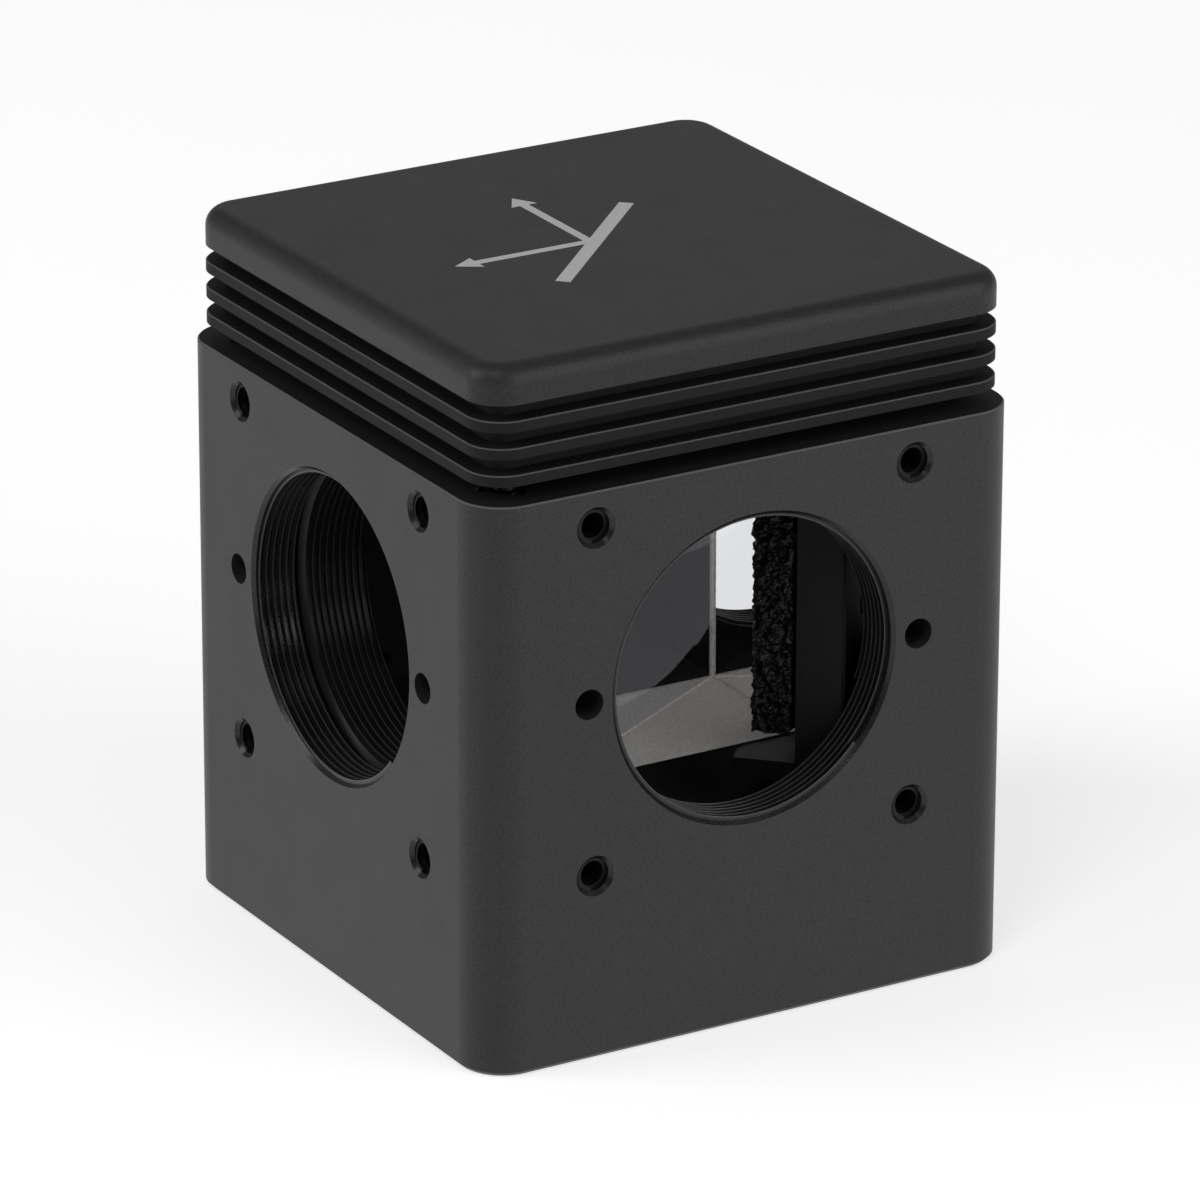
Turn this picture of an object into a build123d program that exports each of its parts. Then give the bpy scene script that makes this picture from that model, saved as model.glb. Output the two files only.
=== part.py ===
from build123d import *
from math import cos, radians, sin, sqrt
import os

# Optical cage cube with a lift-out insert that carries a right-angle mirror prism.
# Millimetres. The origin is the centre of the underside, +Z is up, and the four ports
# face -Y, +X, +Y and -X. The beam enters at -X and leaves at +Y.

# The prism sets the ports, the insert and the cube round it
prism_size = 25.0
prism_bevel = 0.3
prism_to_wall = 2.3
prism_headroom = 1.8

# Base cube
wall = 4.0
cube_corner_radius = 4.0
floor_thickness = 14.0
floor_to_ledge = 2.95
foot_bevel = 0.35
rim_bevel = 0.15
pad_clearance = 2.3

# Ports and the holes around them
port_allowance = 0.645
port_bevel = 0.3
port_to_tap = 1.855
tap_radius = 1.42
tap_mouth_radius = 1.75
tap_depth = 3.4
port_to_dowel = 1.155
dowel_radius = 1.3
dowel_depth = 3.2
foot_tap_radius = 3.175
foot_tap_mouth_radius = 3.5
foot_tap_depth = 10.0

# Three-ball seat and its magnets, on the corner pads
seat_gap = 1.4
ball_radius = 1.75
ball_drop = 1.7
ball_shank_radius = 0.95
ball_shank_height = 1.8
pin_radius = 0.75
pin_length = 3.2
ball_to_pin = 0.1
pin_below_rim = 0.1
magnet_length = 3.0
magnet_width = 2.0
magnet_thickness = 1.4
magnet_wall = 0.3
press_clearance = 0.02

# Finned handle
handle_inset = 0.8
handle_corner_radius = 3.2
slab_thickness = 3.2
slab_fillet = 1.6
fin_count = 3
fin_thickness = 0.94
fin_bevel = 0.12
groove_height = 1.33
groove_depth = 1.7
neck_corner_radius = 1.2

# Insert frame
frame_clearance = 0.5
frame_wall = 6.1
flange_thickness = 3.2
frame_to_floor = 0.9
frame_port_bevel = 0.5
wall_end_setback = 3.9
seat_contact = 1.3

# Bracket behind the prism's right-angle edge, set at 45 degrees
post_to_wall = 0.28
post_gap = 1.1
post_thickness = 4.1
post_bevel = 0.25
ledge_reach = 5.3
ledge_thickness = 1.65
ledge_corner_radius = 1.0
tab_reach = 6.0
tab_thickness = 2.0

# Foam pad between the post and the prism
foam_thickness = 3.6
foam_clearance = 0.3
foam_above_ledge = 2.2
foam_below_tab = 2.3

# Screws
frame_screw_head_radius = 2.3
frame_screw_head_height = 1.2
frame_screw_grip = 4.0
frame_screw_inset = 3.8
frame_screw_pitch = 15.0
bracket_screw_radius = 1.0
bracket_screw_head_radius = 1.8
bracket_screw_head_height = 1.2
bracket_screw_grip = 2.6
bracket_screw_spacing = 8.0
pad_screw_length = 3.4
pad_screw_recess = 0.3
frame_socket_radius = 0.95
bracket_socket_radius = 0.85
pad_socket_radius = 0.75
socket_depth = 0.9
drill_spare = 0.6

# Plan sizes, worked out from the prism outwards
port_radius = prism_size / 2 + port_allowance
frame_inner = prism_size / 2 + prism_to_wall
frame_half = frame_inner + frame_wall
cavity_half = frame_half + frame_clearance
half_width = cavity_half + wall
cube_width = 2 * half_width
cage_spacing = 2 * (port_radius + port_to_tap)
dowel_spacing = 2 * (port_radius + port_to_dowel + dowel_radius)
prism_corner_distance = prism_size / sqrt(2)
post_distance = prism_corner_distance + post_gap
post_back = post_distance + post_thickness
bracket_width = 2 * ((cavity_half - post_to_wall) * sqrt(2) - post_back)
corner_pad_distance = post_back + pad_clearance
frame_pad_distance = corner_pad_distance - frame_clearance
handle_width = cube_width - 2 * handle_inset
neck_width = handle_width - 2 * groove_depth

# Heights, worked out from the underside upwards
ledge_underside = floor_thickness + floor_to_ledge
prism_foot = ledge_underside + ledge_thickness
axis_height = prism_foot + prism_size / 2
frame_underside = floor_thickness + frame_to_floor
tab_underside = prism_foot + prism_size + prism_headroom
flange_underside = tab_underside + tab_thickness
handle_underside = flange_underside + flange_thickness
base_height = handle_underside - seat_gap
handle_height = slab_thickness + fin_count * (fin_thickness + groove_height)
handle_top = handle_underside + handle_height

# Seat places, outwards from the corner pads' inner faces
magnet_distance = corner_pad_distance + magnet_wall + magnet_width / 2
vee_distance = magnet_distance + magnet_width / 2 + magnet_wall + pin_length / 2
ball_centre = handle_underside + ball_radius - ball_drop
pin_height = base_height - pin_below_rim - pin_radius
pin_reach = ball_radius + pin_radius + ball_to_pin
pin_offset = sqrt(pin_reach**2 - (ball_centre - pin_height) ** 2)

# The four corners, as turns about Z from the -Y face. The bracket stands at the first.
bracket_corner = 45
ball_corners = (135, 225, 315)
magnet_corners = (45, 135, 225, 315)
port_turns = (0, 90, 180, 270)
frame_port_turns = (180, 270)


def side_plane(turn, distance, height):
    """Upright plane whose normal is -Y turned about Z, its local x level and y up."""
    angle = radians(turn)
    return Plane(
        origin=(distance * sin(angle), -distance * cos(angle), height),
        x_dir=(cos(angle), sin(angle), 0),
        z_dir=(sin(angle), -cos(angle), 0),
    )


def level_plane(turn, distance, height):
    """Level plane at a distance along a turned direction, its local y pointing outwards."""
    angle = radians(turn)
    return Plane(
        origin=(distance * sin(angle), -distance * cos(angle), height),
        x_dir=(-cos(angle), -sin(angle), 0),
        z_dir=(0, 0, 1),
    )


def octagon(half, corner_distance):
    """Square of the given half width with its corners cut at a distance from the middle."""
    with BuildSketch() as outline:
        Rectangle(2 * half, 2 * half)
        Rectangle(2 * corner_distance, 2 * corner_distance, rotation=45, mode=Mode.INTERSECT)
    return outline.sketch


def cut_hexagon_socket(plane, radius):
    """Cut a hexagon socket down from a plane into the part that is being built."""
    with BuildSketch(plane) as socket:
        RegularPolygon(radius, 6)
    extrude(socket.sketch, amount=-socket_depth, mode=Mode.SUBTRACT)


os.makedirs("parts", exist_ok=True)


def finish(builder, name):
    """Label a finished piece and write it."""
    builder.part.label = name
    export_step(builder.part, f"parts/{name}.step")


cavity_outline = octagon(cavity_half, corner_pad_distance)
frame_outline = octagon(frame_half, frame_pad_distance)

# Base cube: one milled block, open at the top, with a port through each wall
with BuildPart() as base_cube:
    with BuildSketch():
        RectangleRounded(cube_width, cube_width, cube_corner_radius)
    extrude(amount=base_height)
    chamfer(base_cube.faces().sort_by(Axis.Z)[0].edges(), foot_bevel)
    chamfer(base_cube.faces().sort_by(Axis.Z)[-1].edges(), rim_bevel)

    with BuildSketch(Plane.XY.offset(floor_thickness)):
        add(cavity_outline)
    extrude(amount=base_height, mode=Mode.SUBTRACT)

    for turn in port_turns:
        with BuildSketch(side_plane(turn, half_width, axis_height)):
            Circle(port_radius)
        extrude(amount=-2 * wall, mode=Mode.SUBTRACT)
        with BuildSketch(side_plane(turn, half_width, axis_height)):
            Circle(port_radius + port_bevel)
        extrude(amount=-port_bevel, taper=45, mode=Mode.SUBTRACT)

        with Locations(side_plane(turn, half_width, axis_height)):
            with GridLocations(cage_spacing, cage_spacing, 2, 2):
                CounterSinkHole(tap_radius, tap_mouth_radius, depth=tap_depth, counter_sink_angle=90)
            with GridLocations(dowel_spacing, dowel_spacing, 2, 1):
                Hole(dowel_radius, depth=dowel_depth)

    with Locations(Plane.XY.rotated((180, 0, 0))):
        CounterSinkHole(
            foot_tap_radius, foot_tap_mouth_radius, depth=foot_tap_depth, counter_sink_angle=90
        )

    for turn in ball_corners:
        with BuildSketch(level_plane(turn, vee_distance, base_height)):
            Rectangle(2 * (pin_offset + pin_radius + press_clearance), pin_length + press_clearance)
        extrude(amount=-(base_height - pin_height + pin_radius), mode=Mode.SUBTRACT)
    for turn in magnet_corners:
        with BuildSketch(level_plane(turn, magnet_distance, base_height)):
            Rectangle(magnet_length + press_clearance, magnet_width + press_clearance)
        extrude(amount=-magnet_thickness, mode=Mode.SUBTRACT)
finish(base_cube, "base_cube")

# Dowel pins that form the three vees, lying along the diagonals
for number, turn in enumerate(ball_corners, start=1):
    vee_plane = side_plane(turn, vee_distance - pin_length / 2, pin_height)
    with BuildPart() as vee_pins:
        with BuildSketch(vee_plane):
            with Locations((-pin_offset, 0), (pin_offset, 0)):
                Circle(pin_radius)
        extrude(amount=pin_length)
    finish(vee_pins, f"vee_pins_{number}")

# Ball-ended studs that sit in the vees
shank_drop = sqrt(ball_radius**2 - ball_shank_radius**2)
shank_top = handle_underside + ball_shank_height
for number, turn in enumerate(ball_corners, start=1):
    with BuildPart() as seat_ball:
        with Locations(level_plane(turn, vee_distance, ball_centre)):
            Sphere(ball_radius)
            Cylinder(ball_shank_radius, 2 * ball_radius, mode=Mode.INTERSECT)
        with BuildSketch(level_plane(turn, vee_distance, ball_centre)):
            Circle(ball_shank_radius)
        extrude(amount=shank_top - ball_centre)
    finish(seat_ball, f"seat_ball_{number}")

# Block magnets, one in each corner pad and one above it in the handle
for number, turn in enumerate(magnet_corners, start=1):
    with BuildPart() as base_magnet:
        with BuildSketch(level_plane(turn, magnet_distance, base_height)):
            Rectangle(magnet_length, magnet_width)
        extrude(amount=-magnet_thickness)
    finish(base_magnet, f"base_magnet_{number}")

    with BuildPart() as handle_magnet:
        with BuildSketch(level_plane(turn, magnet_distance, handle_underside)):
            Rectangle(magnet_length, magnet_width)
        extrude(amount=magnet_thickness)
    finish(handle_magnet, f"handle_magnet_{number}")

# Screw places of the flange: the corner between its two walls, and along each wall
screw_line = frame_inner - frame_screw_inset
frame_screw_places = [
    (-screw_line, screw_line),
    (-screw_line, screw_line - frame_screw_pitch),
    (frame_screw_pitch - screw_line, screw_line),
]

# Finned handle: a neck with square fins round it and a thick slab on top
with BuildPart() as insert_handle:
    with BuildSketch(Plane.XY.offset(handle_underside)):
        RectangleRounded(neck_width, neck_width, neck_corner_radius)
    extrude(amount=handle_height)
    for fin in range(fin_count):
        fin_base = handle_underside + fin * (fin_thickness + groove_height)
        with BuildSketch(Plane.XY.offset(fin_base)):
            RectangleRounded(handle_width, handle_width, handle_corner_radius)
        extrude(amount=fin_thickness)
    with BuildSketch(Plane.XY.offset(handle_top)):
        RectangleRounded(handle_width, handle_width, handle_corner_radius)
    extrude(amount=-slab_thickness)

    slab_face = insert_handle.faces().sort_by(Axis.Z)[-1]
    fillet(slab_face.edges(), slab_fillet)
    lip = neck_width / 2 + fin_bevel
    outer_edges = insert_handle.edges().filter_by(Plane.XY).filter_by(
        lambda edge: max(abs((edge @ 0.5).X), abs((edge @ 0.5).Y)) > lip
    )
    for fin in range(fin_count):
        fin_top = handle_underside + fin * (fin_thickness + groove_height) + fin_thickness
        chamfer(outer_edges.filter_by_position(Axis.Z, fin_top - fin_bevel, fin_top + fin_bevel), fin_bevel)

    for turn in ball_corners:
        with BuildSketch(level_plane(turn, vee_distance, handle_underside)):
            Circle(ball_shank_radius + press_clearance)
        extrude(amount=ball_shank_height, mode=Mode.SUBTRACT)
    for turn in magnet_corners:
        with BuildSketch(level_plane(turn, magnet_distance, handle_underside)):
            Rectangle(magnet_length + press_clearance, magnet_width + press_clearance)
        extrude(amount=magnet_thickness, mode=Mode.SUBTRACT)
    with BuildSketch(Plane.XY.offset(handle_underside)):
        with Locations(*frame_screw_places):
            Circle(tap_radius + press_clearance)
    extrude(amount=frame_screw_grip + drill_spare, mode=Mode.SUBTRACT)
finish(insert_handle, "insert_handle")

# Insert frame: a flange under the handle and two threaded walls, towards -X and +Y
bracket_screw_distance = post_distance - tab_reach / 2
with BuildPart() as insert_frame:
    with BuildSketch(Plane.XY.offset(flange_underside)):
        add(frame_outline)
    extrude(amount=flange_thickness)

    with BuildSketch(Plane.XY.offset(frame_underside)):
        add(frame_outline)
        with Locations((-frame_inner, frame_inner)):
            Rectangle(cube_width, cube_width, align=(Align.MIN, Align.MAX), mode=Mode.SUBTRACT)
        wall_span = 2 * frame_half - wall_end_setback
        with Locations((-frame_half, frame_half)):
            Rectangle(wall_span, wall_span, align=(Align.MIN, Align.MAX), mode=Mode.INTERSECT)
        # Ribs in the two inner corners are the seats for the prism's coated face
        rib_tip = prism_size / 2 - seat_contact
        with BuildLine():
            Polyline(
                (-frame_inner, -frame_inner),
                (-rib_tip, -rib_tip),
                (-frame_inner, -rib_tip),
                close=True,
            )
        make_face()
        with BuildLine():
            Polyline(
                (frame_inner, frame_inner),
                (rib_tip, rib_tip),
                (rib_tip, frame_inner),
                close=True,
            )
        make_face()
    extrude(amount=flange_underside - frame_underside)

    for turn in frame_port_turns:
        port = side_plane(turn, frame_half, axis_height)
        with BuildSketch(port):
            Circle(port_radius)
        extrude(amount=-frame_wall, mode=Mode.SUBTRACT)
        with BuildSketch(port):
            Circle(port_radius + frame_port_bevel)
        extrude(amount=-frame_port_bevel, taper=45, mode=Mode.SUBTRACT)

    with BuildSketch(Plane.XY.offset(flange_underside)):
        with Locations(*frame_screw_places):
            Circle(tap_radius + press_clearance)
    extrude(amount=flange_thickness, mode=Mode.SUBTRACT)
    with BuildSketch(level_plane(bracket_corner, bracket_screw_distance, flange_underside)):
        with GridLocations(bracket_screw_spacing, 0, 2, 1):
            Circle(bracket_screw_radius + press_clearance)
    extrude(amount=bracket_screw_grip + drill_spare / 2, mode=Mode.SUBTRACT)
finish(insert_frame, "insert_frame")

# Screws that hold the flange up to the handle
for number, (x, y) in enumerate(frame_screw_places, start=1):
    with BuildPart() as frame_screw:
        with BuildSketch(Plane(origin=(x, y, flange_underside), z_dir=(0, 0, 1))):
            Circle(tap_radius)
        extrude(amount=flange_thickness + frame_screw_grip)
        with BuildSketch(Plane(origin=(x, y, flange_underside), z_dir=(0, 0, 1))):
            Circle(frame_screw_head_radius)
        extrude(amount=-frame_screw_head_height)
        head_face = Plane(
            origin=(x, y, flange_underside - frame_screw_head_height), x_dir=(1, 0, 0), z_dir=(0, 0, -1)
        )
        cut_hexagon_socket(head_face, frame_socket_radius)
    finish(frame_screw, f"frame_screw_{number}")

# Right-angle prism, its coated face along the diagonal from (-X, -Y) to (+X, +Y)
half_leg = prism_size / 2
with BuildPart() as turning_prism:
    with BuildSketch(Plane.XY.offset(prism_foot)):
        with BuildLine():
            Polyline((-half_leg, -half_leg), (half_leg, -half_leg), (half_leg, half_leg), close=True)
        make_face()
    extrude(amount=prism_size)
    chamfer(turning_prism.edges().filter_by(Axis.Z), prism_bevel)
finish(turning_prism, "turning_prism")

# Bracket: a post behind the prism's right-angle edge, with a ledge under the prism and a
# tab on top that is screwed to the flange
turn_angle = radians(bracket_corner)
bracket_section = Plane(
    origin=(0, 0, 0),
    x_dir=(sin(turn_angle), -cos(turn_angle), 0),
    z_dir=(-cos(turn_angle), -sin(turn_angle), 0),
)
with BuildPart() as prism_bracket:
    with BuildSketch(bracket_section):
        with BuildLine():
            Polyline(
                (post_back, ledge_underside),
                (post_back, flange_underside),
                (post_distance - tab_reach, flange_underside),
                (post_distance - tab_reach, tab_underside),
                (post_distance, tab_underside),
                (post_distance, prism_foot),
                (post_distance - ledge_reach, prism_foot),
                (post_distance - ledge_reach, ledge_underside),
                close=True,
            )
        make_face()
    extrude(amount=bracket_width / 2, both=True)
    outwards = Axis((0, 0, 0), (sin(turn_angle), -cos(turn_angle), 0))
    upright = prism_bracket.edges().filter_by(Axis.Z).group_by(outwards)
    fillet(upright[0].group_by(Axis.Z)[0], ledge_corner_radius)
    chamfer(upright[-1], post_bevel)
    with Locations(side_plane(bracket_corner, post_back, axis_height)):
        Hole(tap_radius + press_clearance, depth=post_thickness)
    with BuildSketch(level_plane(bracket_corner, bracket_screw_distance, tab_underside)):
        with GridLocations(bracket_screw_spacing, 0, 2, 1):
            Circle(bracket_screw_radius + press_clearance)
    extrude(amount=tab_thickness, mode=Mode.SUBTRACT)
finish(prism_bracket, "prism_bracket")

# Pan head screws through the tab
for number, side in enumerate((-1, 1), start=1):
    head_plane = level_plane(bracket_corner, bracket_screw_distance, tab_underside)
    place = head_plane.from_local_coords(Vector(side * bracket_screw_spacing / 2, 0, 0))
    with BuildPart() as bracket_screw:
        with BuildSketch(Plane(origin=place, z_dir=(0, 0, 1))):
            Circle(bracket_screw_radius)
        extrude(amount=tab_thickness + bracket_screw_grip)
        with BuildSketch(Plane(origin=place, z_dir=(0, 0, 1))):
            Circle(bracket_screw_head_radius)
        extrude(amount=-bracket_screw_head_height)
        cut_hexagon_socket(
            Plane(
                origin=(place.X, place.Y, tab_underside - bracket_screw_head_height),
                x_dir=(1, 0, 0),
                z_dir=(0, 0, -1),
            ),
            bracket_socket_radius,
        )
    finish(bracket_screw, f"bracket_screw_{number}")

# Set screw in the post, behind the foam
pad_screw_face = side_plane(bracket_corner, post_back - pad_screw_recess, axis_height)
with BuildPart() as pad_screw:
    with BuildSketch(pad_screw_face):
        Circle(tap_radius)
    extrude(amount=-pad_screw_length)
    cut_hexagon_socket(pad_screw_face, pad_socket_radius)
finish(pad_screw, "pad_screw")

# Open-cell foam pad, notched where the prism's right-angle edge presses into it
foam_back = post_distance - foam_clearance
foam_front = foam_back - foam_thickness
notch_tip = prism_corner_distance + foam_clearance * sqrt(2)
notch_half_width = notch_tip - foam_front
foam_underside = prism_foot + foam_above_ledge
foam_plan = Plane(
    origin=(0, 0, foam_underside),
    x_dir=(sin(turn_angle), -cos(turn_angle), 0),
    z_dir=(0, 0, 1),
)
with BuildPart() as foam_pad:
    with BuildSketch(foam_plan):
        with BuildLine():
            Polyline(
                (foam_front, -bracket_width / 2),
                (foam_back, -bracket_width / 2),
                (foam_back, bracket_width / 2),
                (foam_front, bracket_width / 2),
                (foam_front, notch_half_width),
                (notch_tip, 0),
                (foam_front, -notch_half_width),
                close=True,
            )
        make_face()
    extrude(amount=tab_underside - foam_below_tab - foam_underside)
finish(foam_pad, "foam_pad")
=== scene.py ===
import bpy
import math
from mathutils import Matrix, Vector


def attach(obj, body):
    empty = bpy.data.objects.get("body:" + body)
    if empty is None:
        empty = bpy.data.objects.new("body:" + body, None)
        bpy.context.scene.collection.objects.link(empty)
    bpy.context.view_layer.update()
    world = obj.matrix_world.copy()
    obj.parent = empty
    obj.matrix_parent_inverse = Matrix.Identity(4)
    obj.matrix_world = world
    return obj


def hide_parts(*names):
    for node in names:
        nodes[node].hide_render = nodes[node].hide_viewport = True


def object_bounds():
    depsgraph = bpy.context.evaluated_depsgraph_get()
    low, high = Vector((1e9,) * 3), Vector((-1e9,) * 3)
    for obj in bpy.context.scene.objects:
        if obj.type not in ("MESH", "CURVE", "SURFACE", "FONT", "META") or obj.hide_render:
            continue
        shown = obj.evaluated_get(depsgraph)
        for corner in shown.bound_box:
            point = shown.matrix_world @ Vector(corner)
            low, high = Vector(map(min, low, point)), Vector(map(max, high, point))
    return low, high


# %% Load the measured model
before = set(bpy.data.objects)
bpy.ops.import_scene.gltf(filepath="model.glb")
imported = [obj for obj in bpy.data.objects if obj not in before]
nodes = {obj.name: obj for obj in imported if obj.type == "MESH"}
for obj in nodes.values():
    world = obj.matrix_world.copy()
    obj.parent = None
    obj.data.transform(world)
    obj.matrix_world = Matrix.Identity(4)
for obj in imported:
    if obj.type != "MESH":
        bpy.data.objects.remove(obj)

cad_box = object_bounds()
mm = 0.001
axis_height = 31.1  # of the port axis, in millimetres
print("CAD nodes:", len(nodes))

# %% [markdown]
# The camera comes first, because every choice of detail depends on what it sees.
# The photograph is taken with a long lens from the left and a little above.
# The lens and the place were solved from the four tapped holes, which are taken to stand
# on a 30 mm square on both visible faces. The camera then needs no shift.

# %% Camera
turn, tilt, roll = math.radians(-30.597), math.radians(21.133), math.radians(0.1616)
back = Vector((math.sin(turn) * math.cos(tilt), -math.cos(turn) * math.cos(tilt), math.sin(tilt)))
level_right = Vector((0, 0, 1)).cross(back).normalized()
level_up = back.cross(level_right)
right = level_right * math.cos(roll) + level_up * math.sin(roll)
up = level_up * math.cos(roll) - level_right * math.sin(roll)
camera_data = bpy.data.cameras.new("Camera")
camera_data.sensor_width = 36
camera_data.lens = 249.75
camera_data.clip_start = 0.01
camera = bpy.data.objects.new("Camera", camera_data)
bpy.context.scene.collection.objects.link(camera)
camera.matrix_world = Matrix.Translation((-0.32951, -0.55788, 0.27902)) @ Matrix(
    (right, up, back)
).transposed().to_4x4()
bpy.context.scene.camera = camera
print("camera at", [round(v, 3) for v in camera.matrix_world.translation])

# %% [markdown]
# Black anodised aluminium is a dull, slightly bluish black. Before it is dyed, the metal
# is blasted with fine beads, which leaves a grain of about a tenth of a millimetre.
# The grain could be modelled, but at this size a bump from two noises does the same work:
# a fine one for the beads and a broad, faint one for uneven dye and handling.
# All patterns read Object coordinates, so the grain stays put when the insert is lifted.
# Masks by place paint shade into the cavity, the gap under the handle and the grooves,
# and paint highlights onto the bevels and thread crests. The bores are darker and
# smoother, partly as cut metal and partly by painted shade. How much of that is finish
# and how much is light can't be told from one picture.

# %% A helper for new materials
def new_material(name):
    material = bpy.data.materials.new(name)
    material.use_nodes = True
    return material, material.node_tree.nodes, material.node_tree.links


def speckle(tree_nodes, links, coordinates, scale, detail, low, high):
    """A noise whose value is mapped to low..high."""
    noise = tree_nodes.new("ShaderNodeTexNoise")
    noise.inputs["Scale"].default_value = scale
    noise.inputs["Detail"].default_value = detail
    links.new(coordinates, noise.inputs["Vector"])
    spread = tree_nodes.new("ShaderNodeMapRange")
    spread.inputs["From Min"].default_value = 0.3
    spread.inputs["From Max"].default_value = 0.7
    spread.inputs["To Min"].default_value = low
    spread.inputs["To Max"].default_value = high
    links.new(noise.outputs["Fac"], spread.inputs["Value"])
    return spread.outputs["Result"]


def tinted(tree_nodes, links, colour, shade):
    """A colour scaled by a shade socket."""
    tint = tree_nodes.new("ShaderNodeVectorMath")
    tint.operation = "SCALE"
    tint.inputs[0].default_value = colour
    links.new(shade, tint.inputs["Scale"])
    return tint.outputs["Vector"]


def bumped(tree_nodes, links, height, strength, distance):
    """A bumped normal from a height socket."""
    bump = tree_nodes.new("ShaderNodeBump")
    bump.inputs["Strength"].default_value = strength
    bump.inputs["Distance"].default_value = distance
    links.new(height, bump.inputs["Height"])
    return bump.outputs["Normal"]


# %% Helpers for masks of darker bores, painted shade and painted highlights
def math_node(tree_nodes, links, operation, first, second):
    """A Math node: each of its two values is a socket or a number."""
    step = tree_nodes.new("ShaderNodeMath")
    step.operation = operation
    for socket, value in zip(step.inputs, (first, second)):
        if isinstance(value, (int, float)):
            socket.default_value = value
        else:
            links.new(value, socket)
    return step.outputs["Value"]


def vector_node(tree_nodes, links, operation, first, second=None):
    step = tree_nodes.new("ShaderNodeVectorMath")
    step.operation = operation
    links.new(first, step.inputs[0])
    if second:
        step.inputs[1].default_value = second
    return step.outputs["Value" if operation == "LENGTH" else "Vector"]


def bore_radius_mask(tree_nodes, links, place, height, bores):
    """1 inside round bores, each an offset from the port axis, a mask of its axes and a radius."""
    level = vector_node(tree_nodes, links, "SUBTRACT", place, (0, 0, height))
    folded = vector_node(tree_nodes, links, "ABSOLUTE", level)
    mask = 0.0
    for offset, across, radius in bores:
        shifted = vector_node(tree_nodes, links, "SUBTRACT", folded, offset)
        flat = vector_node(tree_nodes, links, "MULTIPLY", shifted, across)
        away = vector_node(tree_nodes, links, "LENGTH", flat)
        inside = math_node(tree_nodes, links, "LESS_THAN", away, radius)
        mask = math_node(tree_nodes, links, "MAXIMUM", inside, mask)
    return mask


def edge_mask(tree_nodes, links, place, heights, bevel):
    """1 on the narrow bevels just under the given heights, but not on the flat above them."""
    flat_margin = 0.00001
    parts = tree_nodes.new("ShaderNodeSeparateXYZ")
    links.new(place, parts.inputs[0])
    mask = 0.0
    for height in heights:
        step = tree_nodes.new("ShaderNodeMath")
        step.operation = "COMPARE"
        links.new(parts.outputs["Z"], step.inputs[0])
        step.inputs[1].default_value = height - bevel / 2
        step.inputs[2].default_value = bevel / 2 - flat_margin
        mask = math_node(tree_nodes, links, "MAXIMUM", step.outputs["Value"], mask)
    return mask


def inner_mask(tree_nodes, links, place, reach, low, high):
    """1 inside an upright square column of half width reach, between two heights."""
    folded = vector_node(tree_nodes, links, "ABSOLUTE", place)
    parts = tree_nodes.new("ShaderNodeSeparateXYZ")
    links.new(folded, parts.inputs[0])
    farther = math_node(tree_nodes, links, "MAXIMUM", parts.outputs["X"], parts.outputs["Y"])
    inside = math_node(tree_nodes, links, "LESS_THAN", farther, reach)
    above = math_node(tree_nodes, links, "GREATER_THAN", parts.outputs["Z"], low)
    below = math_node(tree_nodes, links, "LESS_THAN", parts.outputs["Z"], high)
    level = math_node(tree_nodes, links, "MULTIPLY", above, below)
    return math_node(tree_nodes, links, "MULTIPLY", inside, level)


# %% Anodised finishes
# Bores are darker partly as cut metal and partly by painted shade; pockets get painted shade;
# thread crests and rims get painted highlights.
bore_darkening = 0.55
bore_roughness = 0.24
pocket_painted_shade = 0.8
pocket_roughening = 0.25
crest_painted_highlight = 4
rim_painted_highlight = 3.5
bead_scale, dye_scale, gloss_scale = 7000, 90, 260


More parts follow.
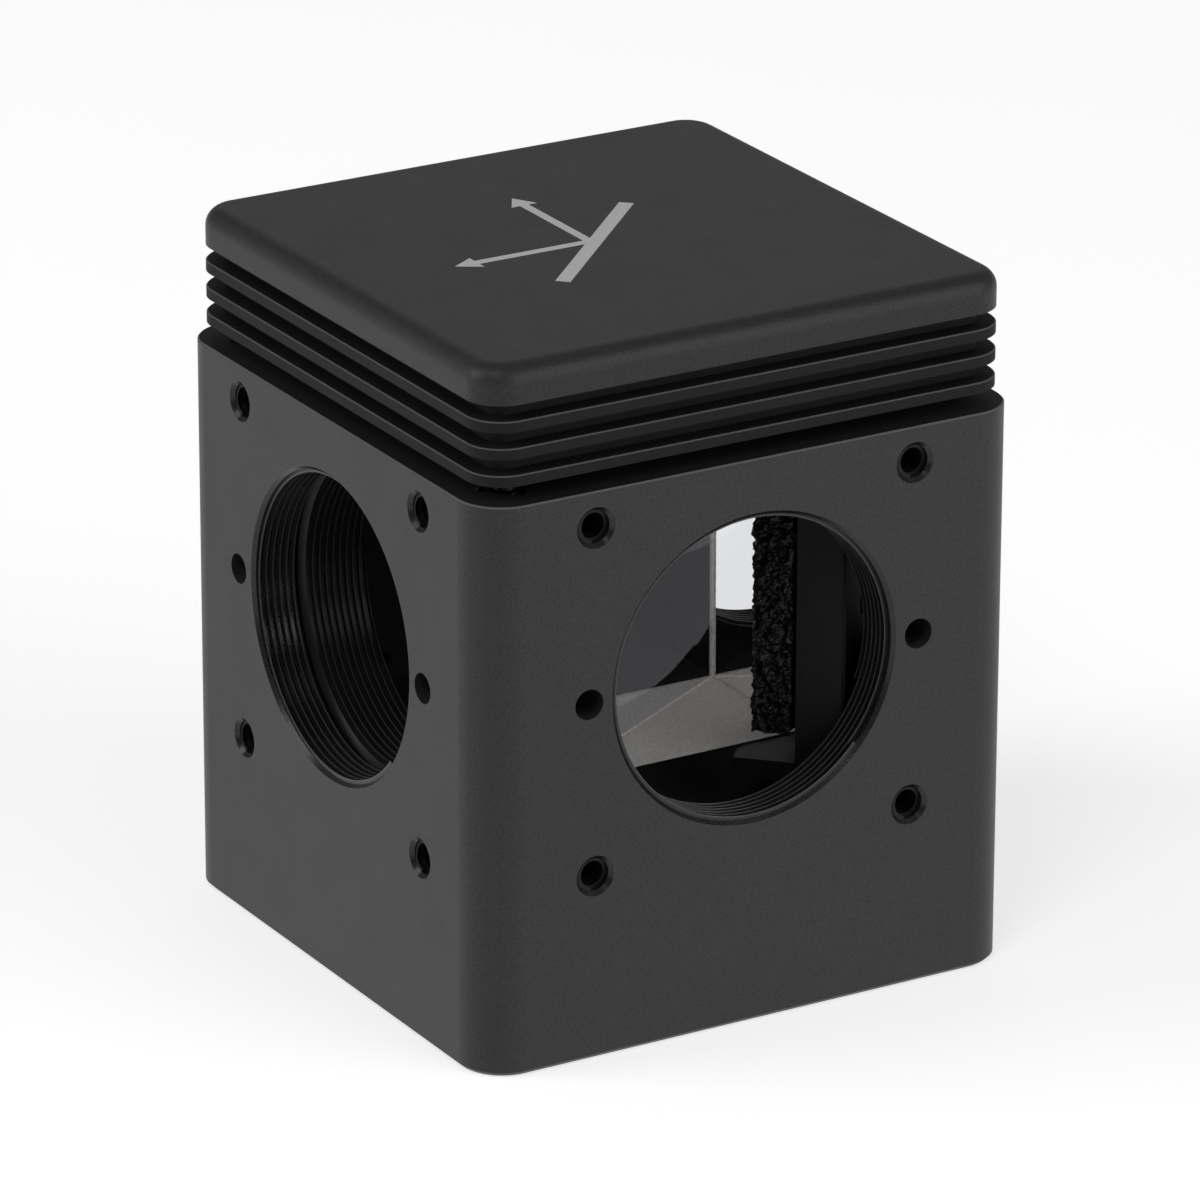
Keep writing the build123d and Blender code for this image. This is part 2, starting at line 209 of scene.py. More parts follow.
def anodised(
    name, colour, roughness, grain, shine, bores=(), rims=(), bevel=0.00012, pockets=(), crests=()
):
    """Black anodising: a colour, a roughness, and masks that paint shade and highlights."""
    material, tree_nodes, links = new_material(name)
    shader = tree_nodes["Principled BSDF"]
    shader.inputs["Specular IOR Level"].default_value = shine
    place = tree_nodes.new("ShaderNodeTexCoord").outputs["Object"]
    beads = speckle(tree_nodes, links, place, bead_scale, 2, 1 - grain, 1 + grain)
    dye = speckle(tree_nodes, links, place, dye_scale, 4, 0.985, 1.015)
    shade = math_node(tree_nodes, links, "MULTIPLY", beads, dye)
    gloss = speckle(
        tree_nodes, links, place, gloss_scale, 3, roughness - 0.015, roughness + 0.015
    )
    # Bores: darker and smoother, partly as cut metal and partly by painted shade.
    if bores:
        cut = bore_radius_mask(tree_nodes, links, place, axis_height * mm, bores)
        darker = math_node(tree_nodes, links, "MULTIPLY", cut, -bore_darkening)
        shade = math_node(tree_nodes, links, "ADD", shade, darker)
        smoother = math_node(tree_nodes, links, "MULTIPLY", cut, bore_roughness - roughness)
        gloss = math_node(tree_nodes, links, "ADD", gloss, smoother)
    # Pockets: painted shade in the cavity, the gap and the grooves.
    for reach, low, high in pockets:
        shaded_pocket = inner_mask(tree_nodes, links, place, reach, low, high)
        darker = math_node(tree_nodes, links, "MULTIPLY", shaded_pocket, -pocket_painted_shade)
        left_over = math_node(tree_nodes, links, "ADD", darker, 1)
        shade = math_node(tree_nodes, links, "MULTIPLY", shade, left_over)
        rougher = math_node(tree_nodes, links, "MULTIPLY", shaded_pocket, pocket_roughening)
        gloss = math_node(tree_nodes, links, "ADD", gloss, rougher)
    # Thread crests: a painted highlight.
    if crests:
        painted_highlight = bore_radius_mask(tree_nodes, links, place, axis_height * mm, crests)
        paler = math_node(tree_nodes, links, "MULTIPLY", painted_highlight, crest_painted_highlight)
        shade = math_node(tree_nodes, links, "ADD", shade, paler)
    # Bevels under the given heights: a painted highlight.
    if rims:
        painted_highlight = edge_mask(tree_nodes, links, place, rims, bevel)
        paler = math_node(tree_nodes, links, "MULTIPLY", painted_highlight, rim_painted_highlight)
        shade = math_node(tree_nodes, links, "ADD", shade, paler)
    links.new(tinted(tree_nodes, links, colour, shade), shader.inputs["Base Color"])
    links.new(gloss, shader.inputs["Roughness"])
    links.new(bumped(tree_nodes, links, beads, 0.25, 0.00002), shader.inputs["Normal"])
    return material


# Each bore: offset from the port axis, mask of its axes, radius, in metres.
# Inside these bores the finish is darker, partly as cut metal and partly by painted shade.
cut_and_shaded_bores = (
    ((0, 0, 0), (1, 0, 1), 0.01347),
    ((0, 0, 0), (0, 1, 1), 0.01347),
    ((0.015, 0, 0.015), (1, 0, 1), 0.00177),
    ((0, 0.015, 0.015), (0, 1, 1), 0.00177),
)
# Each pocket: half width, lowest and highest height, in metres.
# Bevels just under these fin tops get a painted highlight.
fin_tops = (0.05154, 0.05381, 0.05608)
# These three pockets get painted shade.
cavity = (0.0216, 0.0139, 0.06)
gap_floor = (0.02522, 0.04915, 0.0495)
grooves = (0.02478, 0.0490, 0.05741)
# The body gets darker bores, painted shade in its cavity and gap, and a painted highlight on its
# top rim bevel.
body_black = anodised(
    "Blasted black anodising",
    (0.026, 0.026, 0.027),
    0.46,
    0.40,
    0.38,
    bores=cut_and_shaded_bores,
    rims=(0.0492,),
    bevel=0.00015,
    pockets=(cavity, gap_floor),
)
# The handle gets painted highlights on its fin edges and painted shade in its grooves.
handle_black = anodised(
    "Handle black anodising",
    (0.026, 0.026, 0.027),
    0.46,
    0.40,
    0.30,
    rims=fin_tops,
    pockets=(grooves,),
)
insert_black = anodised("Insert black anodising", (0.012, 0.012, 0.013), 0.42, 0.25, 0.30)
corner_black = anodised("Bored corner anodising", (0.010, 0.010, 0.010), 0.60, 0.20, 0.08)
bracket_black = anodised("Bracket black anodising", (0.011, 0.011, 0.012), 0.55, 0.30, 0.12)
# Thread crests within this radius get a painted highlight.
crest_lines = (((0, 0, 0), (1, 0, 1), 0.0129), ((0, 0, 0), (0, 1, 1), 0.0129))
thread_black = anodised(
    "Cut thread under anodising", (0.010, 0.010, 0.0105), 0.40, 0.08, 0.20, crests=crest_lines
)
port_black = anodised(
    "Port thread anodising", (0.014, 0.014, 0.0147), 0.36, 0.08, 0.40, crests=crest_lines
)
print("anodised finishes:", sum("anodising" in m.name for m in bpy.data.materials))

# %% [markdown]
# Steel parts differ in their last machining step. Pins are ground, which leaves fine
# lines, balls are polished, and screws are blackened and slightly oily.
# One helper covers them: a metal with a stretched noise in its roughness.

# %% Steel finishes
def steel(name, colour, roughness, metallic, stretch):
    material, tree_nodes, links = new_material(name)
    shader = tree_nodes["Principled BSDF"]
    shader.inputs["Base Color"].default_value = (*colour, 1)
    shader.inputs["Metallic"].default_value = metallic
    place = tree_nodes.new("ShaderNodeTexCoord").outputs["Object"]
    pull = tree_nodes.new("ShaderNodeMapping")
    pull.inputs["Scale"].default_value = stretch
    links.new(place, pull.inputs["Vector"])
    lines = speckle(
        tree_nodes, links, pull.outputs["Vector"], 3000, 2, roughness * 0.8, roughness * 1.25
    )
    links.new(lines, shader.inputs["Roughness"])
    links.new(bumped(tree_nodes, links, lines, 0.08, 0.00001), shader.inputs["Normal"])
    return material


pin_steel = steel("Ground pin steel", (0.16, 0.16, 0.165), 0.34, 1.0, (1, 1, 8))
ball_steel = steel("Burnished ball steel", (0.14, 0.14, 0.145), 0.30, 1.0, (1, 1, 1))
nickel = steel("Nickel plated magnet", (0.60, 0.59, 0.57), 0.22, 1.0, (1, 1, 1))
black_oxide = steel("Black oxide steel", (0.035, 0.035, 0.037), 0.35, 0.0, (1, 1, 1))

# %% Give every CAD node its finish
finishes = {
    "base_cube": body_black,
    "insert_handle": handle_black,
    "insert_frame": insert_black,
    "prism_bracket": bracket_black,
    "pad_screw": black_oxide,
    "vee_pins": pin_steel,
    "seat_ball": ball_steel,
    "base_magnet": nickel,
    "handle_magnet": nickel,
    "frame_screw": black_oxide,
    "bracket_screw": black_oxide,
}


def paint(thing, material):
    thing.data.materials.clear()
    thing.data.materials.append(material)


for name, node in nodes.items():
    kind = name.rstrip("_0123456789")
    if kind in finishes:
        paint(node, finishes[kind])
print("painted:", sum(name.rstrip("_0123456789") in finishes for name in nodes))

# %% [markdown]
# The threads are what an optics bench user sees first in the ports: fine turns of a
# one inch tube thread in each wall and in the two rings of the insert, a small screw
# thread in each cage tap, and a coarse one under the foot.
# A thread could be cut from the wall with a boolean, which is slow and often breaks.
# Here the CAD bores have the thread's outer size, and a ridge with a thread's section is
# wound inside each bore. It starts beyond one face and ends beyond the other, and both
# ends are then bisected flush, which is how a real tap leaves them.

# %% Helpers for mesh editing
def deselect():
    if bpy.context.mode != "OBJECT":
        bpy.ops.object.mode_set(mode="OBJECT")
    bpy.ops.object.select_all(action="DESELECT")


def pick(thing):
    deselect()
    thing.select_set(True)
    bpy.context.view_layer.objects.active = thing


def choose(thing, kind, test):
    """Goes into edit mode with only the faces or edges whose direction passes the test."""
    pick(thing)
    bpy.ops.object.mode_set(mode="EDIT")
    bpy.ops.mesh.select_mode(type="FACE" if kind == "faces" else "EDGE")
    bpy.ops.mesh.select_all(action="DESELECT")
    bpy.ops.object.mode_set(mode="OBJECT")
    points = thing.data.vertices
    if kind == "faces":
        for face in thing.data.polygons:
            face.select = test(face.normal)
    else:
        for edge in thing.data.edges:
            along = points[edge.vertices[1]].co - points[edge.vertices[0]].co
            edge.select = test(along.normalized())
    bpy.ops.object.mode_set(mode="EDIT")


def place_in_mesh(thing):
    """Puts the object's turn, size and place into its mesh."""
    pick(thing)
    bpy.ops.object.transform_apply(location=True, rotation=True, scale=True)


def tidy_normals(thing):
    pick(thing)
    bpy.ops.object.mode_set(mode="EDIT")
    bpy.ops.mesh.select_all(action="SELECT")
    bpy.ops.mesh.remove_doubles(threshold=0.000001)
    bpy.ops.mesh.normals_make_consistent(inside=False)
    bpy.ops.object.mode_set(mode="OBJECT")


def copy_turned(thing, name, angle):
    """A copy with its own mesh, turned about the part's upright axis."""
    twin = thing.copy()
    twin.data = thing.data.copy()
    twin.name = name
    bpy.context.scene.collection.objects.link(twin)
    twin.rotation_euler = (0, 0, angle)
    place_in_mesh(twin)
    return twin


# %% Wind one thread ridge
def thread_ridge(name, radius, crest_radius, pitch, start, end, steps, phase=0.0):
    """A ridge wound about +Z inside a bore, from height start to end, all in millimetres."""
    deselect()
    sunk = 0.08
    root_share = 0.74
    crest_share = 0.16
    depth = radius + sunk - crest_radius
    root = pitch * root_share
    bpy.ops.mesh.primitive_plane_add(size=1, rotation=(math.pi / 2, 0, 0))
    ridge = bpy.context.object
    ridge.name = name
    ridge.scale = (depth * mm, root * mm, 1)
    ridge.location = ((crest_radius + depth / 2) * mm, 0, (start - pitch + phase) * mm)
    place_in_mesh(ridge)
    for corner in ridge.data.vertices:
        corner.select = corner.co.x < (crest_radius + depth / 2) * mm
    bpy.ops.object.mode_set(mode="EDIT")
    bpy.ops.transform.resize(value=(1, 1, crest_share))
    bpy.ops.mesh.select_all(action="SELECT")
    bpy.ops.mesh.delete(type="ONLY_FACE")
    bpy.ops.object.mode_set(mode="OBJECT")
    wind = ridge.modifiers.new("Wind", "SCREW")
    wind.screw_offset = pitch * mm
    wind.iterations = math.ceil((end - start) / pitch) + 2
    wind.steps = steps
    wind.render_steps = steps
    wind.use_normal_calculate = True
    bpy.ops.object.modifier_apply(modifier="Wind")
    bpy.ops.object.mode_set(mode="EDIT")
    for height, side in ((start, -1), (end, 1)):
        bpy.ops.mesh.select_all(action="SELECT")
        bpy.ops.mesh.bisect(
            plane_co=(0, 0, height * mm),
            plane_no=(0, 0, side),
            use_fill=True,
            clear_outer=True,
            threshold=0.0000001,
        )
    bpy.ops.object.mode_set(mode="OBJECT")
    tidy_normals(ridge)
    paint(ridge, thread_black)
    return ridge


def shade_ridge(thing):
    pick(thing)
    bpy.ops.object.shade_smooth_by_angle(angle=math.radians(25))


# %% Port threads in the cube's four walls
half_width = 25.4
wall = 4.0
port_radius = 13.145
port_crest = 12.82
port_lead_in = 0.3
port_steps = 120
fine_pitch = 0.635

front_port = thread_ridge(
    "front_port_thread",
    port_radius,
    port_crest,
    fine_pitch,
    half_width - wall,
    half_width - port_lead_in,
    port_steps,
)
front_port.rotation_euler = (math.pi / 2, 0, 0)
front_port.location = (0, 0, axis_height * mm)
place_in_mesh(front_port)
shade_ridge(front_port)
port_threads = [front_port]
for side, name in enumerate(("right", "back", "left"), start=1):
    port_threads.append(copy_turned(front_port, f"{name}_port_thread", side * math.pi / 2))
for thread in port_threads:
    paint(thread, port_black)
    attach(thread, "cube")
print("port thread faces:", len(front_port.data.polygons))

# %% Threads in the insert's two filter rings
ring_outer = 20.9
ring_inner = 14.8
ring_lead_in = 0.5
ring_phase = 0.3
left_ring = thread_ridge(
    "left_ring_thread",
    port_radius,
    port_crest,
    fine_pitch,
    ring_inner,
    ring_outer - ring_lead_in,
    port_steps,
    ring_phase,
)
left_ring.rotation_euler = (math.pi / 2, 0, 0)
left_ring.location = (0, 0, axis_height * mm)
place_in_mesh(left_ring)
left_ring.rotation_euler = (0, 0, -math.pi / 2)
place_in_mesh(left_ring)
shade_ridge(left_ring)
back_ring = copy_turned(left_ring, "back_ring_thread", -math.pi / 2)
for thread in (left_ring, back_ring):
    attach(thread, "insert")

# %% Threads in the sixteen cage taps
tap_radius = 1.42
tap_depth = 3.4
tap_spacing = 30.0
tap_crest = 1.13
tap_floor_gap = 0.1
tap_lead_in = 0.34
tap_steps = 28
front_tap = thread_ridge(
    "front_tap_thread_1",
    tap_radius,
    tap_crest,
    fine_pitch,
    half_width - tap_depth + tap_floor_gap,
    half_width - tap_lead_in,
    tap_steps,
)
front_tap.rotation_euler = (math.pi / 2, 0, 0)
front_tap.location = (-tap_spacing / 2 * mm, 0, (axis_height - tap_spacing / 2) * mm)
place_in_mesh(front_tap)
shade_ridge(front_tap)
front_taps = [front_tap]
for number, (across, rise) in enumerate(((1, 0), (0, 1), (1, 1)), start=2):
    twin = front_tap.copy()
    twin.data = front_tap.data.copy()
    twin.name = f"front_tap_thread_{number}"
    bpy.context.scene.collection.objects.link(twin)
    twin.location = (across * tap_spacing * mm, 0, rise * tap_spacing * mm)
    place_in_mesh(twin)
    front_taps.append(twin)
tap_threads = list(front_taps)
for side, name in enumerate(("right", "back", "left"), start=1):
    for number, tap in enumerate(front_taps, start=1):
        tap_threads.append(copy_turned(tap, f"{name}_tap_thread_{number}", side * math.pi / 2))
for thread in tap_threads:
    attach(thread, "cube")
print("cage tap threads:", len(tap_threads), "of", len(front_tap.data.polygons), "faces")

# %% Thread under the foot
foot_radius = 3.175
foot_crest = 2.62
foot_pitch = 1.27
foot_lead_in = 0.34
foot_end = 9.9
foot_steps = 48
foot_thread = thread_ridge(
    "foot_thread", foot_radius, foot_crest, foot_pitch, foot_lead_in, foot_end, foot_steps
)
shade_ridge(foot_thread)
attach(foot_thread, "cube")

# %% [markdown]
# In the photograph the view into the left port ends on dark metal with a small hole, and
# not on daylight from the back port. What stands there isn't seen, so this piece is a
# guess: a square column in the insert's inner corner, dark and smooth. Both bores are cut
# from it with booleans, the back one narrower, and a pin hole is drilled across its wall.

# %% Bore the inner corner
def cutter(radius, length, centre, direction, sides):
    """A round tool for booleans: sizes in millimetres, along a direction."""
    deselect()
    bpy.ops.mesh.primitive_cylinder_add(
        vertices=sides,
        radius=radius * mm,
        depth=length * mm,
        location=Vector(centre) * mm,
        rotation=Vector(direction).to_track_quat("Z", "Y").to_euler(),
    )
    return bpy.context.object


def cut_away(thing, tool):
    pick(thing)
    cut = thing.modifiers.new("Cut", "BOOLEAN")
    cut.operation = "DIFFERENCE"
    cut.solver = "EXACT"
    cut.object = tool
    bpy.ops.object.modifier_apply(modifier="Cut")
    bpy.data.objects.remove(tool, do_unlink=True)


corner_place = 11.91
corner_side = 5.82
corner_height = 27.6
left_bore = 13.12
back_bore = 11.5
bore_sides = 180
pin_radius = 0.6
pin_drop = 8.7
deselect()
bpy.ops.mesh.primitive_cube_add(
    size=1, location=(-corner_place * mm, corner_place * mm, axis_height * mm)
)
corner = bpy.context.object
corner.name = "bored_corner"
corner.scale = (corner_side * mm, corner_side * mm, corner_height * mm)
place_in_mesh(corner)
cut_away(corner, cutter(left_bore, 20, (-12, 0, axis_height), (1, 0, 0), bore_sides))
cut_away(corner, cutter(back_bore, 20, (0, 12, axis_height), (0, 1, 0), bore_sides))
pin_centre = (-14.5, 10.6, axis_height - pin_drop)
cut_away(corner, cutter(pin_radius, 4, pin_centre, (0, 10.15, -8.35), 20))
tidy_normals(corner)
shade_ridge(corner)
paint(corner, corner_black)
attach(corner, "insert")
print("bored corner faces:", len(corner.data.polygons))

# %% [markdown]
# The prism turns the light. Two faces are polished, so one looks into clear glass, the
# long face has a metal coating and is a mirror from both sides, and the ends are ground,
# which scatters light in a warm grey. What the photograph shows in the front port, the
# white patch and the grey veil, are views of the other ports and of the ground ends
# after total reflection, so the glass must be real glass with the right index.
# A cube is bisected along its diagonal and bevelled, as the real block is ground.
# It is drawn a little clear of its seat and foot, so that no two faces lie in one plane,
# which showed as grainy stripes. The CAD prism touches both.

# %% Glass, coating and ground ends
glass, tree_nodes, links = new_material("Polished prism glass")
shader = tree_nodes["Principled BSDF"]
shader.inputs["Base Color"].default_value = (0.985, 0.99, 1.0, 1)
shader.inputs["Specular Tint"].default_value = (0.96, 0.93, 1.0, 1)
shader.inputs["Transmission Weight"].default_value = 1.0
shader.inputs["IOR"].default_value = 1.517
shader.inputs["Roughness"].default_value = 0.0

coating, tree_nodes, links = new_material("Mirror coating")
shader = tree_nodes["Principled BSDF"]
shader.inputs["Metallic"].default_value = 1.0
place = tree_nodes.new("ShaderNodeTexCoord").outputs["Object"]
shader.inputs["Roughness"].default_value = 0.0
streaks = speckle(tree_nodes, links, place, 60, 2, 0.97, 1.03)
links.new(tinted(tree_nodes, links, (0.86, 0.86, 0.88), streaks), shader.inputs["Base Color"])

ground, tree_nodes, links = new_material("Ground glass ends")
shader = tree_nodes["Principled BSDF"]
place = tree_nodes.new("ShaderNodeTexCoord").outputs["Object"]
frost = speckle(tree_nodes, links, place, 3500, 4, 0.78, 1.12)
links.new(tinted(tree_nodes, links, (0.90, 0.87, 0.83), frost), shader.inputs["Base Color"])
shader.inputs["Roughness"].default_value = 0.7
links.new(bumped(tree_nodes, links, frost, 0.5, 0.00004), shader.inputs["Normal"])

# %% Cut the prism from a block
prism_size = 25.0
prism_foot = 18.6
prism_bevel = 0.3
end_bevel = 0.12
seat_clearance = 0.03
deselect()
bpy.ops.mesh.primitive_cube_add(
    size=prism_size * mm, location=(0, 0, (prism_foot + prism_size / 2) * mm)
)
prism = bpy.context.object
prism.name = "mirror_prism"
place_in_mesh(prism)
for corner in prism.data.vertices:
    if corner.co.z < (prism_foot + 1) * mm:
        corner.co.z += seat_clearance * mm
bpy.ops.object.mode_set(mode="EDIT")
bpy.ops.mesh.select_all(action="SELECT")
bpy.ops.mesh.bisect(
    plane_co=(seat_clearance * mm, -seat_clearance * mm, 0),
    plane_no=(-1, 1, 0),
    use_fill=True,
    clear_outer=True,
    threshold=0.0000001,
)
bpy.ops.object.mode_set(mode="OBJECT")
choose(prism, "edges", lambda edge: abs(edge.z) > 0.9)
bpy.ops.mesh.bevel(offset=prism_bevel * mm, segments=1, affect="EDGES")
bpy.ops.object.mode_set(mode="OBJECT")
choose(prism, "edges", lambda edge: abs(edge.z) < 0.1)
bpy.ops.mesh.bevel(offset=end_bevel * mm, segments=1, affect="EDGES")
bpy.ops.object.mode_set(mode="OBJECT")
tidy_normals(prism)
prism.data.materials.append(glass)
prism.data.materials.append(coating)
prism.data.materials.append(ground)
for face in prism.data.polygons:
    if face.normal.x > 0.99 or face.normal.y < -0.99:
        face.material_index = 0
    elif face.normal.dot(Vector((-1, 1, 0)).normalized()) > 0.99:
        face.material_index = 1
    else:
        face.material_index = 2
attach(prism, "insert")
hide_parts("turning_prism")
print("prism faces:", len(prism.data.polygons))

# %% [markdown]
# Open-cell foam fills the space between post and prism. It is cut with a blade, so its faces
# are flat but full of small open cells. A block could be displaced with a texture in the
# material alone, but its outline would stay straight, and the outline is what shows
# beside the prism. So the block is remeshed finely and displaced for real.

# %% Foam finish
foam, tree_nodes, links = new_material("Open-cell foam")
shader = tree_nodes["Principled BSDF"]
shader.inputs["Specular IOR Level"].default_value = 0.2
place = tree_nodes.new("ShaderNodeTexCoord").outputs["Object"]
cells = speckle(tree_nodes, links, place, 2500, 2, 0.2, 1.8)
links.new(tinted(tree_nodes, links, (0.007, 0.007, 0.007), cells), shader.inputs["Base Color"])
shader.inputs["Roughness"].default_value = 0.3

# %% Cut, notch and displace the foam
pad_back = 18.4777
pad_front = 14.8777
pad_half = 6.99
pad_low = 20.8
pad_high = 43.1
notch_tip = 18.102
trim = 0.2  # off each side, for the displaced cells to fill
voxel = 0.13
deselect()
bpy.ops.mesh.primitive_cube_add(
    size=1, location=((pad_front + pad_back) / 2 * mm, 0, (pad_low + pad_high) / 2 * mm)
)
pad = bpy.context.object
pad.name = "prism_foam"
pad.scale = (
    (pad_back - pad_front - trim) * mm,
    (2 * pad_half - trim) * mm,
    (pad_high - pad_low - trim) * mm,
)
place_in_mesh(pad)
bpy.ops.object.mode_set(mode="EDIT")
bpy.ops.mesh.select_all(action="SELECT")
bpy.ops.mesh.bisect(plane_co=(0, 0, 0), plane_no=(0, 1, 0))
for width in (-1, 1):
    bpy.ops.mesh.select_all(action="SELECT")
    notch_side = width * (notch_tip - pad_front) * mm
    bpy.ops.mesh.bisect(plane_co=(0, notch_side, 0), plane_no=(0, 1, 0))
bpy.ops.object.mode_set(mode="OBJECT")
for point in pad.data.vertices:
    if abs(point.co.y) < 0.1 * mm and point.co.x < 16 * mm:
        point.co.x = notch_tip * mm
tidy_normals(pad)
pick(pad)
remesh = pad.modifiers.new("Cells", "REMESH")
remesh.mode = "VOXEL"
remesh.voxel_size = voxel * mm
bpy.ops.object.modifier_apply(modifier="Cells")
lumps = bpy.data.textures.new("Foam lumps", "CLOUDS")
lumps.noise_scale = 0.7 * mm
lumps.noise_depth = 1
pores = bpy.data.textures.new("Foam pores", "VORONOI")
pores.noise_scale = 0.42 * mm
pores.weight_1 = -1.0
pores.weight_2 = 1.0
for texture, depth, level in ((lumps, 1.1, 0.62), (pores, -0.5, 0.1)):
    roughen = pad.modifiers.new("Roughen", "DISPLACE")
    roughen.texture = texture
    roughen.texture_coords = "LOCAL"
    roughen.strength = depth * mm
    roughen.mid_level = level
    bpy.ops.object.modifier_apply(modifier="Roughen")
pad.rotation_euler = (0, 0, -math.pi / 4)
place_in_mesh(pad)
pick(pad)
bpy.ops.object.shade_flat()
paint(pad, foam)
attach(pad, "insert")
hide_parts("foam_pad")
print("foam faces:", len(pad.data.polygons))

# %% [markdown]
# The top carries a beam path sign, printed in light grey: a slanted bar for the mirror
# and an arrow to each port that the light uses. It is generic, so it belongs on the part.
# It could be painted in the material, but a print has a sharp edge at any distance, so
# it is made as very thin closed shapes that lie on the slab.

# %% Printed ink
ink, tree_nodes, links = new_material("Printed ink")
shader = tree_nodes["Principled BSDF"]
place = tree_nodes.new("ShaderNodeTexCoord").outputs["Object"]
cover = speckle(tree_nodes, links, place, 4000, 3, 0.93, 1.04)
links.new(tinted(tree_nodes, links, (0.66, 0.66, 0.66), cover), shader.inputs["Base Color"])
shader.inputs["Roughness"].default_value = 0.6

# %% Beam path sign
top = cad_box[1][2]
ink_thickness = 0.03


def printed_bar(name, length, width, centre, angle):
    """A flat bar on the top face: sizes in millimetres, angle in degrees."""
    deselect()
    bpy.ops.mesh.primitive_cube_add(size=1)
    bar = bpy.context.object
    bar.name = name
    bar.scale = (length * mm, width * mm, ink_thickness * mm)
    bar.rotation_euler = (0, 0, math.radians(angle))
    bar.location = (centre[0] * mm, centre[1] * mm, top + (ink_thickness / 2 - 0.005) * mm)
    place_in_mesh(bar)
    return bar


def printed_arrow(name, tip, tail, width, head_length, head_width):
    """A flat arrow: its shaft is a bar, and its head is extruded from the shaft's end."""
    reach = Vector((tip[0] - tail[0], tip[1] - tail[1], 0))
    shaft_end = reach.length - head_length
    angle = math.atan2(reach.y, reach.x)
    arrow = printed_bar(name, shaft_end, width, (0, 0), 0)
    choose(arrow, "faces", lambda normal: normal.x > 0.9)
    bpy.ops.mesh.extrude_region_move(TRANSFORM_OT_translate={"value": (0, 0, 0)})
    bpy.ops.transform.resize(value=(1, head_width / width, 1))
    bpy.ops.mesh.extrude_region_move(TRANSFORM_OT_translate={"value": (head_length * mm, 0, 0)})
    bpy.ops.transform.resize(value=(1, 0.02, 1))
    bpy.ops.object.mode_set(mode="OBJECT")
    arrow.rotation_euler = (0, 0, angle)
    middle = Vector((tail[0], tail[1], 0)) + reach.normalized() * shaft_end / 2
    arrow.location = (middle.x * mm, middle.y * mm, 0)
    place_in_mesh(arrow)
    return arrow


arrow_form = (0.8, 2.0, 2.4)  # shaft width, head length, head width
layer_step = 0.004
sign = [
    printed_bar("sign_mirror_bar", 20.8, 1.26, (-0.89, -1.2), 45),
    printed_arrow("sign_arrow_left", (-13.9, -0.95), (-1.2, -0.95), *arrow_form),
    printed_arrow("sign_arrow_back", (-1.22, 11.83), (-1.22, -0.95), *arrow_form),
]
for layer, mark in enumerate(sign):
    for corner in mark.data.vertices:
        corner.co.z += layer * layer_step * mm
for mark in sign:
    paint(mark, ink)
    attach(mark, "insert")
print("sign pieces:", len(sign))

# %% [markdown]
# The photograph is taken as a product on white paper under soft lamps. The left side is
# the brighter one, partly because it mirrors the pale floor at a grazing angle. A weak
# key lamp lights it from behind the left, a large fill stands before the front, and two
# small lamps stand behind and above. Places and strengths were tuned by brightness
# against the photograph. Camera and glass see a white room. For mirrored and
# plain light the room is dimmer, as the top and the rounded edges mirror something dark.

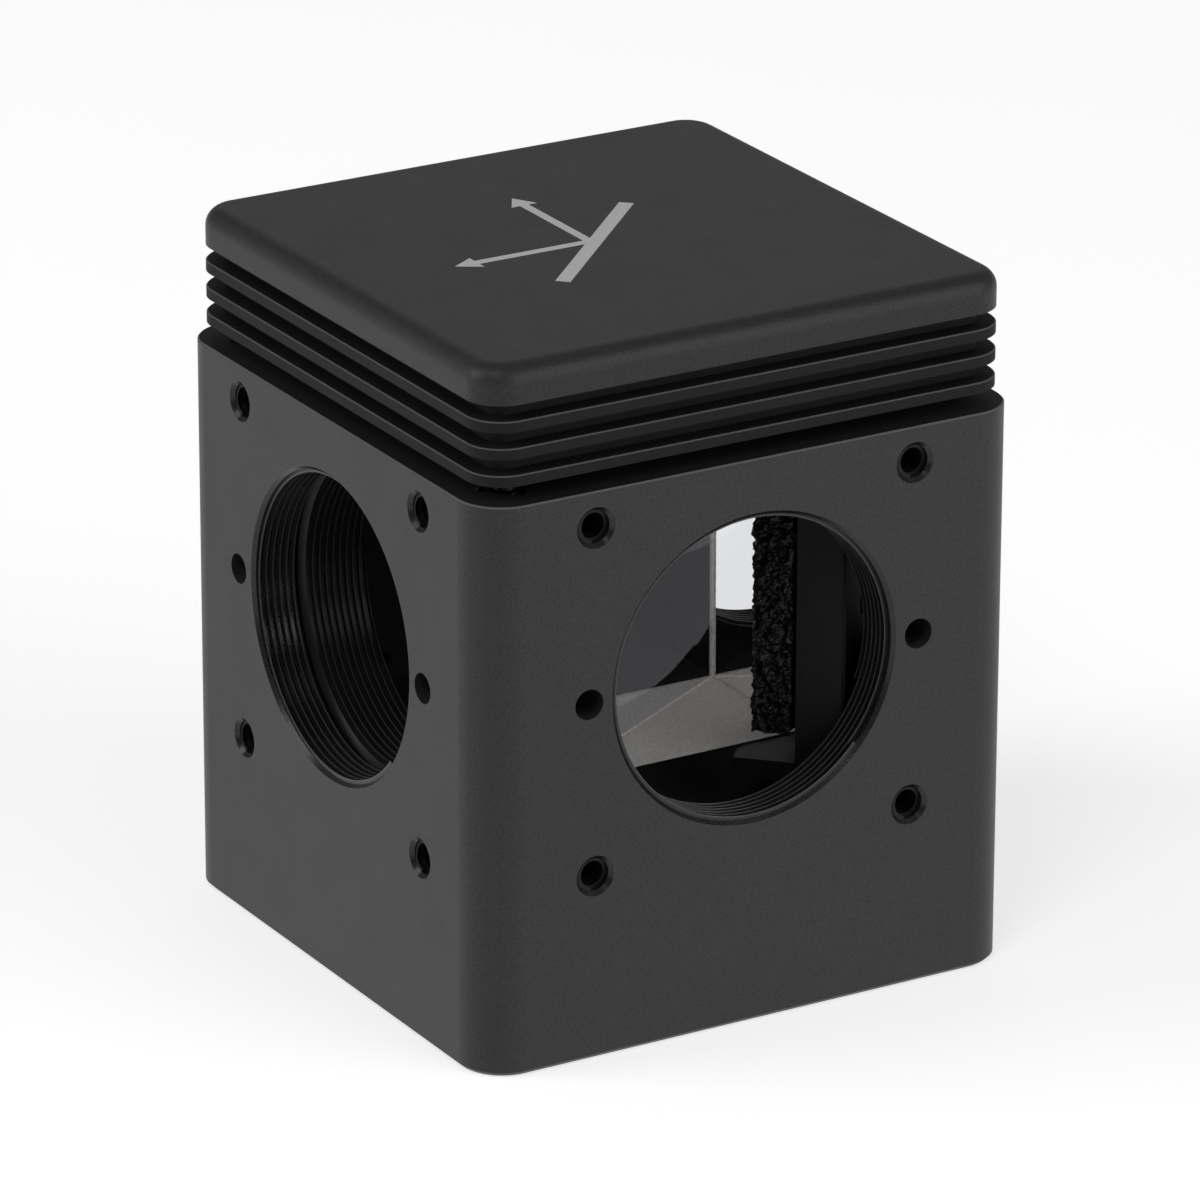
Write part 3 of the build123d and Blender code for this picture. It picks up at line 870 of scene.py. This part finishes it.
# %% Floor
deselect()
bpy.ops.mesh.primitive_plane_add(size=6, location=(0, 0, -0.00005))
floor = bpy.context.object
floor.name = "studio_floor"
place_in_mesh(floor)
paper, tree_nodes, links = new_material("White paper")
shader = tree_nodes["Principled BSDF"]
shader.inputs["Base Color"].default_value = (0.8, 0.8, 0.8, 1)
shader.inputs["Roughness"].default_value = 0.9
shader.inputs["Specular IOR Level"].default_value = 0.1
shader.inputs["Emission Color"].default_value = (1, 1, 1, 1)
rays = tree_nodes.new("ShaderNodeLightPath")
lift = math_node(tree_nodes, links, "MULTIPLY", rays.outputs["Is Camera Ray"], 0.6)
links.new(lift, shader.inputs["Emission Strength"])
mirrored = math_node(
    tree_nodes, links, "MAXIMUM", rays.outputs["Is Glossy Ray"], rays.outputs["Is Transmission Ray"]
)
plain_white = tree_nodes.new("ShaderNodeEmission")
plain_white.inputs["Strength"].default_value = 0.95
either = tree_nodes.new("ShaderNodeMixShader")
links.new(mirrored, either.inputs[0])
links.new(shader.outputs["BSDF"], either.inputs[1])
links.new(plain_white.outputs["Emission"], either.inputs[2])
links.new(either.outputs["Shader"], tree_nodes["Material Output"].inputs["Surface"])
paint(floor, paper)

# %% White room
world = bpy.data.worlds.new("White room")
bpy.context.scene.world = world
world.use_nodes = True
room_nodes = world.node_tree.nodes
room_links = world.node_tree.links
room = room_nodes["Background"]
room.inputs["Color"].default_value = (1, 1, 1, 1)
rays = room_nodes.new("ShaderNodeLightPath")
camera_ray, glass_ray = rays.outputs["Is Camera Ray"], rays.outputs["Is Transmission Ray"]
straight = math_node(room_nodes, room_links, "MAXIMUM", camera_ray, glass_ray)
dim = room_nodes.new("ShaderNodeMapRange")
dim.inputs["To Min"].default_value = 0.14
dim.inputs["To Max"].default_value = 0.2
room_links.new(rays.outputs["Is Glossy Ray"], dim.inputs["Value"])
strength = math_node(room_nodes, room_links, "MAXIMUM", straight, dim.outputs["Result"])
room_links.new(strength, room.inputs["Strength"])

# %% Soft lamps
def soft_lamp(name, place, size, watts):
    lamp_data = bpy.data.lights.new(name, "AREA")
    lamp_data.shape = "SQUARE"
    lamp_data.size = size
    lamp_data.energy = watts
    lamp = bpy.data.objects.new(name, lamp_data)
    bpy.context.scene.collection.objects.link(lamp)
    lamp.location = place
    aim = Vector((0, 0, 0.03)) - Vector(place)
    lamp.rotation_euler = aim.to_track_quat("-Z", "Y").to_euler()
    return lamp


soft_lamp("Key lamp", (-0.8, 0.35, 0.45), 0.5, 3)
soft_lamp("Fill lamp", (0.5, -0.95, 0.45), 1.0, 6)
soft_lamp("Back lamp", (0.5, 0.85, 0.6), 0.7, 0.4)
soft_lamp("High lamp", (-0.5, -0.4, 0.85), 0.35, 1.5)

bpy.context.scene.view_settings.view_transform = "Standard"
